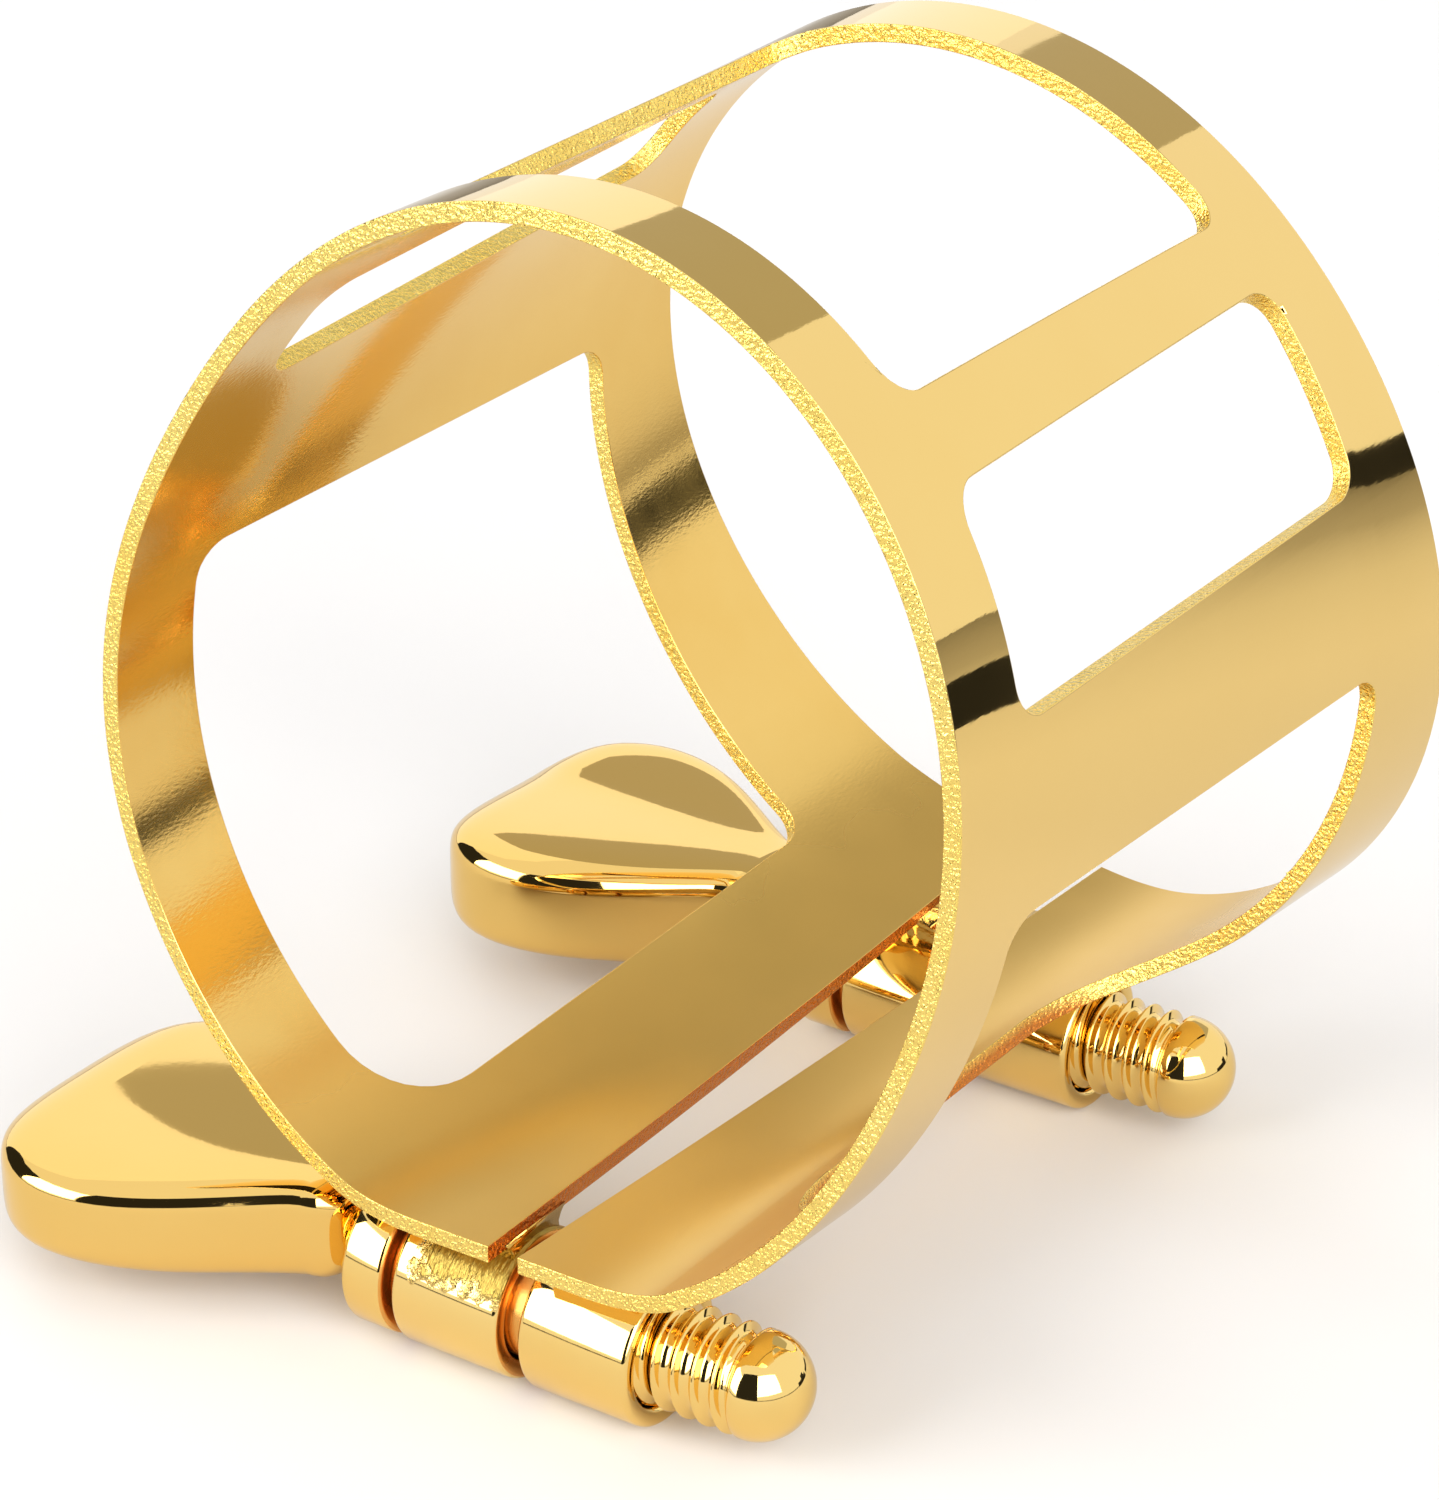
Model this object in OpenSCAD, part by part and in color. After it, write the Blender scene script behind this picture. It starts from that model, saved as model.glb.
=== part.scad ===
// Ligature for a saxophone mouthpiece: a rolled sheet band with five windows, open along its
// bottom, drawn together by two paddle-headed screws.
// X runs along the screws, from the paddles to the tips.  Y runs along the bore, from the front
// mouth at y = 0 to the rear one.  Z is up, and the origin is the middle of the front mouth.
// Angles round the band are measured from its top, positive towards +X.

/* [Band] */
// Mean radius of the front mouth, outside the sheet
front_r = 13.5; // [12.6:0.1:14.5]
// Mean radius of the rear mouth, outside the sheet
rear_r = 12.7; // [11.8:0.1:13.6]
// How much taller than round the front mouth stands
front_oval = 1.1; // [0:0.1:1.4]
// How far the front mouth bellies out at its left, its upper right and its lower right
front_belly = 0.15; // [-0.3:0.05:0.3]
// How far the front mouth swells at its top, bottom and sides
front_swell = 0.15; // [-0.3:0.05:0.3]
// How much taller than round the rear mouth stands
rear_oval = 0.4; // [0:0.1:1.4]
// How far the front mouth is sprung over, positive to the upper right
front_lean = 0.75; // [-1:0.05:1]
// How far the rear mouth is sprung over, positive to the upper right
rear_lean = -0.9; // [-1.3:0.05:1]
// How far the middle of the rear mouth lies below that of the front one
rear_drop = 0.45; // [0:0.05:1]
// How far the middle of the rear mouth lies to the right of the front one
rear_shift = 0.45; // [0:0.05:1]
// Length of the band along its top
length = 23.1; // [21:0.1:28]
// How much further back than its top the band reaches at its lap plates
flare = 2.6; // [0:0.1:4]
// Thickness of the sheet
sheet = 0.5; // [0.4:0.05:0.8]
// Width of the front end ring
front_ring = 2.9; // [2:0.1:4]
// Width of the rear end ring
rear_ring = 2.8; // [2:0.1:4]
// Height from the middle of the bore down to the underside of the lap plates
plate_drop = 13.9; // [13.6:0.1:15]
// Side place of the left lap plate's edge at the slit
slit_left = -1.1; // [-2:0.1:-0.6]
// Side place of the right lap plate's edge at the front end of the slit
slit_right_front = -0.2; // [-0.3:0.1:1]
// Side place of the right lap plate's edge at the rear end of the slit
slit_right_rear = 1.7; // [0.2:0.1:3]

/* [Windows and bars] */
// Lower edge of the broad left bar, degrees from the top
bar_left_low = -79.5; // [-90:0.5:-72]
// Upper edge of the broad left bar
bar_left_high = -52.5; // [-62:0.5:-52]
// Lower edge of the narrow left strut
strut_left_low = -36; // [-44:0.5:-34]
// Upper edge of the narrow left strut
strut_left_high = -26; // [-30:0.5:-20]
// Upper edge of the narrow right strut
strut_right_high = 37.5; // [30:0.5:42]
// Lower edge of the narrow right strut
strut_right_low = 47; // [45:0.5:56]
// How far round the narrow right strut turns from front to rear, degrees
strut_turn = -3.5; // [-5:0.5:5]
// Upper edge of the broad right bar
bar_right_high = 73; // [66:0.5:80]
// Lower edge of the broad right bar
bar_right_low = 96.5; // [90:0.5:104]
// Angle at which the left lap plate begins
plate_left = -155; // [-158:0.5:-148]
// Angle at which the right lap plate begins
plate_right = 160; // [152:0.5:162]
// Corner radius of the windows
corner = 1.0; // [0.6:0.1:1.5]
// Radius of the large corners beside the lap plates
plate_corner = 4; // [2:0.1:5]
// Corner radius beside the left lap plate at the front
plate_front_corner = 2.6; // [2:0.1:5]

/* [Barrels] */
// Outside diameter of the barrels
barrel_d = 4.1; // [3.9:0.1:4.8]
// Length of each barrel
barrel_len = 3.35; // [2.6:0.1:3.6]
// Chamfer at the barrel rims
barrel_chamfer = 0.25; // [0.1:0.05:0.4]
// Distance from the front end of the band to the front screw axis
screw_inset = 2; // [1.9:0.1:2.8]
// Distance from the rear end of the lap plates to the rear screw axis
rear_inset = 4; // [3:0.1:6]
// Gap between the two front barrels
front_gap = 0.65; // [0.4:0.05:1]
// Side place of the middle of the gap between the two front barrels
front_gap_x = -0.6; // [-1.5:0.05:-0.5]
// Gap between the two rear barrels
rear_gap = 0.65; // [0.4:0.05:1]
// Side place of the middle of the gap between the two rear barrels
rear_gap_x = 0.55; // [0:0.05:1]
// Height of the solder fillets under the plates
solder_h = 0.8; // [0.4:0.1:1]
// Thickness of the solder film between a barrel and its plate
solder_film = 0.15; // [0.05:0.01:0.3]

/* [Screws] */
// Diameter over the thread crests
thread_d = 2.9; // [2.6:0.05:3]
// Pitch of the thread
pitch = 0.6; // [0.5:0.05:0.7]
// Depth of the thread grooves
thread_depth = 0.3; // [0.15:0.01:0.35]
// Radial clearance between a screw and the bores of its barrels
bore_gap = 0.08; // [0.03:0.01:0.1]
// Thread that stands out of the threaded barrel, up to the domed tip
tip_out = 2.7; // [2:0.05:4]
// Collar diameter
collar_d = 4; // [3.6:0.1:4.4]
// Collar thickness
collar_len = 1.3; // [1:0.05:2]
// Gap that the collar still has to close on the plain barrel
collar_gap = 0.35; // [0.2:0.05:0.5]
// Diameter of the neck between collar and paddle
neck_d = 1.9; // [1.6:0.1:2.4]
// Length of the front screw's neck
front_neck_len = 1.0; // [0.6:0.1:1.6]
// Length of the rear screw's neck
rear_neck_len = 1.9; // [0.8:0.1:2.4]

/* [Paddles] */
// Length of a paddle along the screw
paddle_len = 10.2; // [8:0.1:12]
// Width of a paddle
paddle_w = 9.6; // [8:0.1:12]
// Thickness of a paddle
paddle_t = 3.2; // [2.6:0.1:4]
// How far the front paddle is cranked up from its screw's axis
front_paddle_lift = 0.5; // [0:0.1:1]
// How far the rear paddle is cranked up from its screw's axis
rear_paddle_lift = 0.8; // [0:0.1:1]

/* [Hidden] */
$fn = 64;

barrel_r = barrel_d / 2;
thread_r = thread_d / 2;
bore_r = thread_r + bore_gap;
screw_z = -plate_drop - solder_film - barrel_r;
front_y = screw_inset;
rear_y = length + flare - rear_inset;
gold = [0.93, 0.76, 0.42];

// ---- the rolled sheet ----

// degrees between the facets of the wall
facet = 3;
// how softly the round wall runs into the level of the lap plates
soft = 0.6;

function mix(a, b, t) = a + (b - a) * t;
// the smaller of two lengths, with the corner between them rounded off
function soft_min(a, b) =
    let(h = max(0, min(1, 0.5 + 0.5 * (b - a) / soft)))
    mix(b, a, h) - soft * h * (1 - h);

// distance of the wall's outer face from the bore's middle at an angle, t from front 0 to rear 1
function round_wall(angle, t) =
    mix(front_r, rear_r, t)
    + mix(front_oval, rear_oval, t) * cos(2 * angle)
    + mix(front_lean, rear_lean, t) * sin(2 * angle)
    + mix(front_belly, 0, t) * sin(3 * angle)
    + mix(front_swell, 0, t) * cos(4 * angle);
function level_wall(angle, t) = (plate_drop - rear_drop * t) / max(-cos(angle), 0.5);
function wall(angle, t) =
    cos(angle) > -0.5 ? round_wall(angle, t)
    : soft_min(round_wall(angle, t), level_wall(angle, t));

// point on the sheet at a depth below its outer face
function on_sheet(angle, y, depth) =
    let(t = y / length, r = wall(angle, t) - depth)
    [rear_shift * t + r * sin(angle), y, r * cos(angle) - rear_drop * t];

// place along the bore of the rear edge at an angle
function rear_edge(angle) = length + flare * pow(angle / 180, 2);

// angle at which the underside of a lap plate reaches a side place
function plate_angle(x, t) = atan((x - rear_shift * t) / (plate_drop - rear_drop * t));

// faces that close a grid of n by m points on two layers into a solid
function grid_faces(n, m) =
    let(at = function(layer, i, j) layer * n * m + i * m + j)
    concat(
        [for (i = [0:n - 2], j = [0:m - 2])
            [at(0, i, j), at(0, i, j + 1), at(0, i + 1, j + 1)]],
        [for (i = [0:n - 2], j = [0:m - 2])
            [at(0, i, j), at(0, i + 1, j + 1), at(0, i + 1, j)]],
        [for (i = [0:n - 2], j = [0:m - 2])
            [at(1, i, j), at(1, i + 1, j + 1), at(1, i, j + 1)]],
        [for (i = [0:n - 2], j = [0:m - 2])
            [at(1, i, j), at(1, i + 1, j), at(1, i + 1, j + 1)]],
        [for (i = [0:n - 2], j = [0, m - 1])
            let(a = at(0, i, j), b = at(0, i + 1, j), c = at(1, i + 1, j), d = at(1, i, j))
            j == 0 ? [a, b, c, d] : [d, c, b, a]],
        [for (j = [0:m - 2], i = [0, n - 1])
            let(a = at(0, i, j), b = at(0, i, j + 1), c = at(1, i, j + 1), d = at(1, i, j))
            i == 0 ? [d, c, b, a] : [a, b, c, d]]);

module rolled_sheet() {
    steps = round(360 / facet);
    rows = 4;
    points = [for (depth = [0, sheet], i = [0:steps], row = [0:rows])
        let(t = row / rows,
            first = -180 - plate_angle(slit_left, t),
            last = 180 - plate_angle(mix(slit_right_front, slit_right_rear, t), t),
            angle = mix(first, last, i / steps))
        on_sheet(angle, rear_edge(angle) * t, depth)];
    polyhedron(points, grid_faces(steps + 1, rows + 1), convexity = 8);
}

// how far a rounded corner draws the edge in, at a distance s from the window's end
function dip(s, r) = s >= r ? 0 : r - sqrt(r * r - (r - s) * (r - s));

// a plug through the wall with the window's outline, from angle a to b; corners = radii at
// [a front, a rear, b front, b rear]; turns = how far its two ends turn from front to rear
module window_plug(a, b, corners, turns = [0, 0]) {
    deg = PI * (front_r + rear_r) / 360;
    span = (b - a) * deg;
    ra = max(corners[0], corners[1]);
    rb = max(corners[2], corners[3]);
    middle = max(2, ceil((span - ra - rb) / (facet * deg)));
    stations = concat(
        [for (k = [0:6]) ra * (1 - cos(k * 15))],
        [for (k = [1:middle - 1]) mix(ra, span - rb, k / middle)],
        [for (k = [6:-1:0]) span - rb * (1 - cos(k * 15))]);
    front = front_ring;
    rear = length - rear_ring;
    margin = sheet + 0.4;
    rows = 2;
    points = [for (depth = [-margin, margin], s = stations)
        let(low = front + dip(s, corners[0]) + dip(span - s, corners[2]),
            high = rear - dip(s, corners[1]) - dip(span - s, corners[3]))
        for (row = [0:rows])
        let(y = mix(low, high, row / rows),
            turn = mix(turns[0], turns[1], s / span) * (y / length - 0.5))
        on_sheet(a + s / deg + turn, y, depth)];
    polyhedron(points, grid_faces(len(stations), rows + 1), convexity = 8);
}

module band() {
    color(gold)
    difference() {
        rolled_sheet();
        window_plug(plate_left, bar_left_low, [plate_front_corner, corner, corner, corner]);
        window_plug(bar_left_high, strut_left_low, [corner, corner, corner, corner]);
        window_plug(strut_left_high, strut_right_high, [corner, corner, corner, corner],
            [0, strut_turn]);
        window_plug(strut_right_low, bar_right_high, [corner, corner, corner, corner],
            [strut_turn, 0]);
        window_plug(bar_right_low, plate_right, [corner, corner, plate_corner, plate_corner]);
    }
}

// ---- barrels and solder ----

// lays a shape made along Z on a screw axis, from x
module on_axis(x, y) {
    translate([x, y, screw_z]) rotate([0, 90, 0]) children();
}

module barrel(x, y) {
    c = barrel_chamfer;
    color(gold)
    on_axis(x, y)
    rotate_extrude()
    polygon([
        [bore_r, 0], [barrel_r - c, 0], [barrel_r, c],
        [barrel_r, barrel_len - c], [barrel_r - c, barrel_len], [bore_r, barrel_len]
    ]);
}

// solder that fills the room between a barrel and the sheet above it
module solder(x, y) {
    half = sqrt(barrel_r * barrel_r - pow(barrel_r - solder_h, 2));
    seat = 0.02;
    columns = 8;
    margin = 1.5;
    top = [for (depth = [-seat, sheet + 3], i = [0:columns], row = [-1, 1])
        on_sheet(180 - plate_angle(x + barrel_len + margin - (barrel_len + 2 * margin) * i / columns,
            y / length),
            y + row * half * 1.3, depth)];
    color([0.85, 0.72, 0.45])
    difference() {
        translate([x, y, screw_z])
        rotate([90, 0, 90])
        linear_extrude(barrel_len)
        polygon([
            [-half, barrel_r - solder_h], [half, barrel_r - solder_h],
            [half * 0.8, barrel_r + 2], [-half * 0.8, barrel_r + 2]
        ]);
        on_axis(x - 1, y) cylinder(h = barrel_len + 2, r = barrel_r + seat);
        polyhedron(top, grid_faces(columns + 1, 2), convexity = 4);
    }
}

module front_plain_barrel() barrel(front_gap_x - front_gap / 2 - barrel_len, front_y);
module front_threaded_barrel() barrel(front_gap_x + front_gap / 2, front_y);
module rear_plain_barrel() barrel(rear_gap_x - rear_gap / 2 - barrel_len, rear_y);
module rear_threaded_barrel() barrel(rear_gap_x + rear_gap / 2, rear_y);
module front_plain_solder() solder(front_gap_x - front_gap / 2 - barrel_len, front_y);
module front_threaded_solder() solder(front_gap_x + front_gap / 2, front_y);
module rear_plain_solder() solder(rear_gap_x - rear_gap / 2 - barrel_len, rear_y);
module rear_threaded_solder() solder(rear_gap_x + rear_gap / 2, rear_y);

// ---- screws ----

// turned profile of a screw whose collar starts at 0: radius against length along the axis
module screw(x, y, gap, neck) {
    under_head = collar_len + collar_gap;
    shank_end = under_head + barrel_len;
    body_end = shank_end + gap + barrel_len + tip_out;
    turns = floor((body_end - shank_end) / pitch);
    root = thread_r - thread_depth;
    edge = 0.2;
    grooves = [for (k = [0:turns - 1])
        let(z = shank_end + k * pitch)
        each [[thread_r, z + pitch * 0.1], [root, z + pitch * 0.45],
              [root, z + pitch * 0.55], [thread_r, z + pitch * 0.9]]];
    dome = [for (k = [1:7]) [thread_r * cos(k * 90 / 8), body_end + thread_r * sin(k * 90 / 8)]];
    color(gold)
    on_axis(x, y)
    rotate_extrude()
    polygon(concat(
        [[0, -neck], [neck_d / 2, -neck], [neck_d / 2, 0]],
        [[collar_d / 2 - edge, 0], [collar_d / 2, edge],
         [collar_d / 2, collar_len - edge], [collar_d / 2 - edge, collar_len]],
        [[thread_r, collar_len]], grooves, [[thread_r, body_end]], dome,
        [[0, body_end + thread_r]]));
}

function collar_x(gap_x, gap) = gap_x - gap / 2 - barrel_len - collar_gap - collar_len;

module front_screw() screw(collar_x(front_gap_x, front_gap), front_y, front_gap, front_neck_len);
module rear_screw() screw(collar_x(rear_gap_x, rear_gap), rear_y, rear_gap, rear_neck_len);

// ---- paddles ----

// half the paddle's width at s, from 0 at the neck to 1 at its far end
function plan(s) =
    s < 0.6 ? mix(neck_d / 2, paddle_w / 2, pow(sin(150 * s), 0.85))
    : paddle_w / 2 * pow(max(0, 1 - pow((s - 0.6) / 0.4, 2.2)), 0.5);
// half its thickness there
function thick(s) =
    s < 0.3 ? mix(neck_d / 2, paddle_t / 2, pow(sin(300 * s), 1.2))
    : s < 0.7 ? paddle_t / 2
    : paddle_t / 2 * pow(max(0, 1 - pow((s - 0.7) / 0.3, 2.6)), 0.5);

module paddle(x, y, lift) {
    rings = 28;
    around = 36;
    squareness = 0.78;
    function full(v) = sign(v) * pow(abs(v), squareness);
    sections = [for (i = [0:rings])
        let(s = i / rings < 0.5 ? 0.9 * i / rings : mix(0.45, 0.998, sin(180 * (i / rings - 0.5))))
        [for (k = [0:around - 1])
            let(a = k * 360 / around)
            [x - s * paddle_len, y + plan(s) * full(cos(a)),
                screw_z + lift * sin(90 * min(1, 2 * s)) + thick(s) * full(sin(a))]]];
    faces = concat(
        [for (i = [0:rings - 1], k = [0:around - 1])
            let(a = i * around + k, b = i * around + (k + 1) % around)
            [a, b, b + around]],
        [for (i = [0:rings - 1], k = [0:around - 1])
            let(a = i * around + k, b = i * around + (k + 1) % around)
            [a, b + around, a + around]],
        [[for (k = [around - 1:-1:0]) k]],
        [[for (k = [0:around - 1]) rings * around + k]]);
    color(gold)
    polyhedron([for (ring = sections) each ring], faces, convexity = 4);
}

module front_paddle() paddle(collar_x(front_gap_x, front_gap) - front_neck_len, front_y, front_paddle_lift);
module rear_paddle() paddle(collar_x(rear_gap_x, rear_gap) - rear_neck_len, rear_y, rear_paddle_lift);

band();
front_plain_barrel();
front_threaded_barrel();
rear_plain_barrel();
rear_threaded_barrel();
front_plain_solder();
front_threaded_solder();
rear_plain_solder();
rear_threaded_solder();
front_screw();
rear_screw();
front_paddle();
rear_paddle();
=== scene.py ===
# %% [markdown]
# # A mouthpiece ligature: a gold plated brass band drawn shut by two screws
#
# The real piece is stamped from half millimetre brass sheet. Five windows are punched out,
# the blank is rolled round, short barrels are soldered under its two lap plates, and two
# thumbscrews draw the plates together round a mouthpiece and its reed. Then everything
# is polished and gold plated.
#
# We work in the same order. Each piece starts as a simple shape and is changed with the
# operators of `bmesh`. The first cell loads the finished CAD frame, which fixes every size.

# %% Load the frame
import math

import bmesh
import bpy
from mathutils import Matrix, Vector, noise


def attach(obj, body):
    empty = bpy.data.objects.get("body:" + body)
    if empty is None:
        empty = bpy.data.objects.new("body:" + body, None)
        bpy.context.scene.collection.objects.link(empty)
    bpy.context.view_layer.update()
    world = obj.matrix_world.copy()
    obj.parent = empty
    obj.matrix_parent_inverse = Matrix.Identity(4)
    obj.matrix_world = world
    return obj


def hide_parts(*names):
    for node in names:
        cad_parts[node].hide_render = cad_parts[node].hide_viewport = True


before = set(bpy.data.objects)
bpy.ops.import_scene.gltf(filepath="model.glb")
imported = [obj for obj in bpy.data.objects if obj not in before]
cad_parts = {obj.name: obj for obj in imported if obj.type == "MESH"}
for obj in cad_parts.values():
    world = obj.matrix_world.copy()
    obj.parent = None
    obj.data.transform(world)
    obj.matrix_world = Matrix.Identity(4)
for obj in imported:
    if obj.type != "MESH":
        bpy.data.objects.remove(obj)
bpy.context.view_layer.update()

MM = 0.001

# %% [markdown]
# ## The camera
#
# A long lens set well back keeps the round mouth round.
# It looks down at the front corner, so the mouth, the windows and both screws show.

# %% Place the camera
camera = bpy.data.objects.new("camera", bpy.data.cameras.new("camera"))
bpy.context.scene.collection.objects.link(camera)
bpy.context.scene.camera = camera
camera.data.sensor_fit = "HORIZONTAL"
camera.data.sensor_width = 36
camera.data.lens = 126.83
camera.data.clip_start = 0.005
camera.data.clip_end = 10
turn = Matrix.Rotation(math.radians(33.849), 4, "Z")
tip = Matrix.Rotation(math.radians(90 - 26.633), 4, "X")
roll = Matrix.Rotation(math.radians(-0.141), 4, "Z")
camera.matrix_world = Matrix.Translation(Vector((64.208, -86.842, 54.988)) * MM) @ turn @ tip @ roll
print("camera", round(camera.matrix_world.translation.length / MM), "mm from the mouth")

# %% [markdown]
# ## Small helpers for the materials
#
# Colours are written as the sRGB hex codes that a paint chart gives, and turned to the
# linear values that the shader works with by one function. A second function adds one
# node, with its settings and its links, so every material below reads as a short list.


# %% Helpers for materials
def linear(code, alpha=1.0):
    """An sRGB hex code as a linear colour."""
    parts = [int(code[i : i + 2], 16) / 255 for i in (0, 2, 4)]
    return [c / 12.92 if c <= 0.04045 else ((c + 0.055) / 1.055) ** 2.4 for c in parts] + [alpha]


def add(tree, kind, settings=None, **inputs):
    """One node with its settings; an input is a value, or a socket to link from."""
    node = tree.nodes.new(kind)
    for key, value in (settings or {}).items():
        setattr(node, key, value)
    for key, value in inputs.items():
        socket = node.inputs[int(key[1:])] if key[1:].isdigit() else node.inputs[key.replace("_", " ")]
        if isinstance(value, bpy.types.NodeSocket):
            tree.links.new(value, socket)
        else:
            socket.default_value = value
    return node


def ranged(tree, value, start, end, low=0.0, high=1.0):
    """Maps a value from start...end to low...high; the socket of the result."""
    node = add(tree, "ShaderNodeMapRange", Value=value)
    for key, number in (("From Min", start), ("From Max", end), ("To Min", low), ("To Max", high)):
        node.inputs[key].default_value = number
    return node.outputs[0]


def blended(tree, share, first, second):
    """A node that mixes two colours; its output 2 is the mixed colour."""
    return add(tree, "ShaderNodeMix", {"data_type": "RGBA"}, Factor=share, i6=first, i7=second)


def empty_material(name):
    """A material with nothing in it but its output."""
    material = bpy.data.materials.new(name)
    material.use_nodes = True
    tree = material.node_tree
    tree.nodes.clear()
    return material, tree, tree.nodes.new("ShaderNodeOutputMaterial")


print("gold plate", [round(c, 3) for c in linear("F5D382")])

# %% [markdown]
# ## The studio
#
# Polished metal has almost no look of its own: it shows the room. So the room is built
# with care. The floor is pale paper. The walls are white, a grey panel hangs above, two
# soft boxes stand in front to the left and right, and dark strips stand at the horizon
# and, nearer, at the table's edge. They give the gold its black accents. All of it is
# plain geometry, and only the floor is seen directly.


# %% Walls and cards
def new_object(name, bm, *materials):
    """The bmesh as an object at the origin, with its materials."""
    mesh = bpy.data.meshes.new(name)
    bm.to_mesh(mesh)
    bm.free()
    obj = bpy.data.objects.new(name, mesh)
    bpy.context.scene.collection.objects.link(obj)
    for material in materials:
        mesh.materials.append(material)
    return obj


def glow(name, colour, strength):
    """A surface that shines evenly, such as the face of a soft box."""
    material, tree, out = empty_material(name)
    shine = add(tree, "ShaderNodeEmission", Color=linear(colour), Strength=strength)
    tree.links.new(shine.outputs[0], out.inputs[0])
    return material


def card(name, corners, material):
    """A flat card with these corners, hidden from the camera."""
    bm = bmesh.new()
    bm.faces.new([bm.verts.new(c) for c in corners])
    obj = new_object(name, bm, material)
    obj.visible_camera = False


def towards(azimuth, height, far):
    """A point at that compass direction, 0 at +Y and 90 at +X, and that angle above the horizon."""
    a, h = math.radians(azimuth), math.radians(height)
    return Vector((math.sin(a) * math.cos(h), math.cos(a) * math.cos(h), math.sin(h))) * far


world = bpy.data.worlds.new("white_room")
bpy.context.scene.world = world
bpy.context.scene.view_settings.view_transform = "Standard"
world.use_nodes = True
world.node_tree.nodes["Background"].inputs["Color"].default_value = (1, 1, 1, 1)
world.node_tree.nodes["Background"].inputs["Strength"].default_value = 1.0


def standing(name, corners, far, material):
    """A card whose corners are compass directions and heights, all that far away."""
    card(name, [towards(azimuth, height, far) for azimuth, height in corners], material)


soft_light = glow("soft_box_cloth", "FFFFFF", 5.4)
standing("left_soft_box", [(-118, 5), (-167, 3), (-167, 40), (-118, 42)], 0.9, soft_light)
standing("right_soft_box", [(150, 7), (101, 9), (101, 44), (150, 48)], 0.9, soft_light)

grey_panel = glow("grey_ceiling_cloth", "BDB9AD", 1.0)
high = 0.5
plan = [(-1.02, 2.81), (0.0, 2.58), (0.5, 0.86), (0.38, 0.5)]
plan += [(-0.2, 0.6), (-0.82, 0.97), (-1.28, 1.42), (-1.3, 2.0)]
card("ceiling_panel", [(x * high, y * high, high) for x, y in plan], grey_panel)

bright_wall = glow("bright_side_wall", "FFFFFF", 1.17)
standing("bright_wall", [(-80, -1), (-24, -1), (-24, 30), (-50, 60), (-80, 60)], 2.4, bright_wall)

dark_cloth = glow("dark_room", "FFFFFF", 0.025)
standing("dark_left", [(-118, -1), (-78, -1), (-78, 34), (-118, 44)], 0.8, dark_cloth)
standing("dark_front", [(192, -1), (150, -1), (150, 50), (192, 46)], 0.8, dark_cloth)
print("stage cards made")

# %% Floor and dark horizon
FLOOR = -18.15 * MM
material, tree, out = empty_material("paper_floor_with_painted_falloff")
place = add(tree, "ShaderNodeTexCoord")
reach = add(tree, "ShaderNodeVectorMath", {"operation": "LENGTH"}, Vector=place.outputs["Object"])
path = add(tree, "ShaderNodeLightPath")
# every ray but the camera's sees the floor painted darker farther from the middle: a painted falloff of
# light, seen in the gold
painted_falloff = add(tree, "ShaderNodeValToRGB", Fac=reach.outputs["Value"])
stops = painted_falloff.color_ramp.elements
stops[0].position, stops[0].color = 0.07, linear("D2CFCC")
stops[1].position, stops[1].color = 0.36, linear("807D79")
for position, code in ((0.11, "C6C3C0"), (0.18, "9F9C98")):
    stops.new(position).color = linear(code)
paper = blended(tree, path.outputs["Is Camera Ray"], painted_falloff.outputs[0], linear("E2E1E1"))
shaded = add(tree, "ShaderNodeBsdfDiffuse", Color=paper.outputs[2])
# a faint painted glow on the floor, added for camera and glossy rays
lift = add(tree, "ShaderNodeEmission", Color=paper.outputs[2], Strength=0.03)
bright = add(tree, "ShaderNodeAddShader", i0=shaded.outputs[0], i1=lift.outputs[0])
rays = {"i0": path.outputs["Is Camera Ray"], "i1": path.outputs["Is Glossy Ray"]}
shown = add(tree, "ShaderNodeMath", {"operation": "ADD", "use_clamp": True}, **rays)
both = add(tree, "ShaderNodeMixShader", Fac=shown.outputs[0], i1=shaded.outputs[0], i2=bright.outputs[0])
tree.links.new(both.outputs[0], out.inputs[0])

bm = bmesh.new()
bmesh.ops.create_circle(bm, cap_ends=True, segments=96, radius=0.36)
bmesh.ops.translate(bm, verts=bm.verts, vec=(0, 0, FLOOR))
floor = new_object("floor", bm, material)


def dark_wall(name, first, last, top, far=0.361, bottom=FLOOR - 0.02):
    """A dark strip that stands that far out between two compass directions."""
    bm = bmesh.new()
    turn = Matrix.Rotation(-math.radians(first), 3, "Z")
    bm.edges.new([bm.verts.new(turn @ Vector((0, far, z))) for z in (bottom, top)])
    whole = {"geom": bm.verts[:] + bm.edges[:], "cent": (0, 0, 0), "axis": (0, 0, 1)}
    bmesh.ops.spin(bm, **whole, angle=-math.radians(last - first), steps=48)
    wall = new_object(name, bm, dark_cloth)
    wall.visible_camera = wall.visible_diffuse = wall.visible_shadow = False


dark_wall("dark_horizon_back", 12, 31.5, 0.003)
dark_wall("dark_horizon_far", 41, 50, 0.040, 0.361, -0.006)
dark_wall("dark_table_edge", 37.3, 62, -0.0085, 0.097, FLOOR)
dark_wall("dark_horizon_left", -100, -75, -0.0125)
dark_wall("dark_horizon_front", 62, 260, -0.0125)
print("floor at", FLOOR / MM, "mm")

# %% [markdown]
# ## Gold plate
#
# Bright gold plate over polished brass. Gold is a metal, so all its colour is in what it
# reflects: the base colour is the colour of a white wall seen in it. Polishing on a cloth
# wheel leaves it almost a mirror, with hair lines too fine to see one by one
# that fray the edges of dark reflections, so a faint stretched noise tilts the surface.
#
# The inside of the band gets only a short barrel polish before plating. It keeps the fine
# grain of the rolled sheet: reflections are softer, and slow stains of colour show. The cut
# edges keep the torn, crystalline face that the punch leaves, which glitters.


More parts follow.
